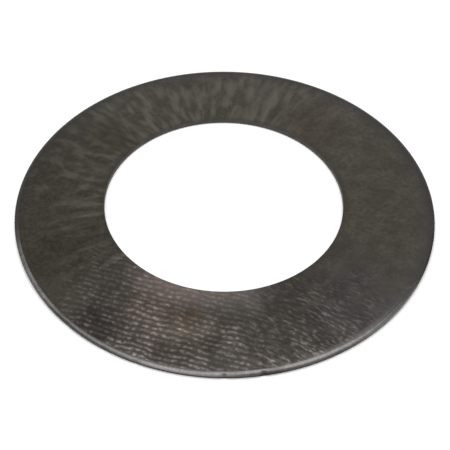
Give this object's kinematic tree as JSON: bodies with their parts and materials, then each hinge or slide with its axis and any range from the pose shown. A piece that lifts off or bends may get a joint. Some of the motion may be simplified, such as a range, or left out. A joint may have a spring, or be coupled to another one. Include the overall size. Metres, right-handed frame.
{
  "type": "shim washer",
  "caption": "Thin flat steel ring with a wide round hole, sheared from strip, that fills end play on a shaft.",
  "frame": {"origin": "centre of the hole on the lower flat face, which is the face it lies on", "axes": "+Z along the hole, out of the upper face with the outer die roll; the picture is taken from the -Y side"},
  "size_m": [0.035, 0.035, 0.0004],
  "materials": {
    "dark_steel": "dark, lightly oiled, fine grinding lay"
  },
  "bodies": {
    "root": {"shim_washer": "dark_steel"}
  },
  "joints": []
}
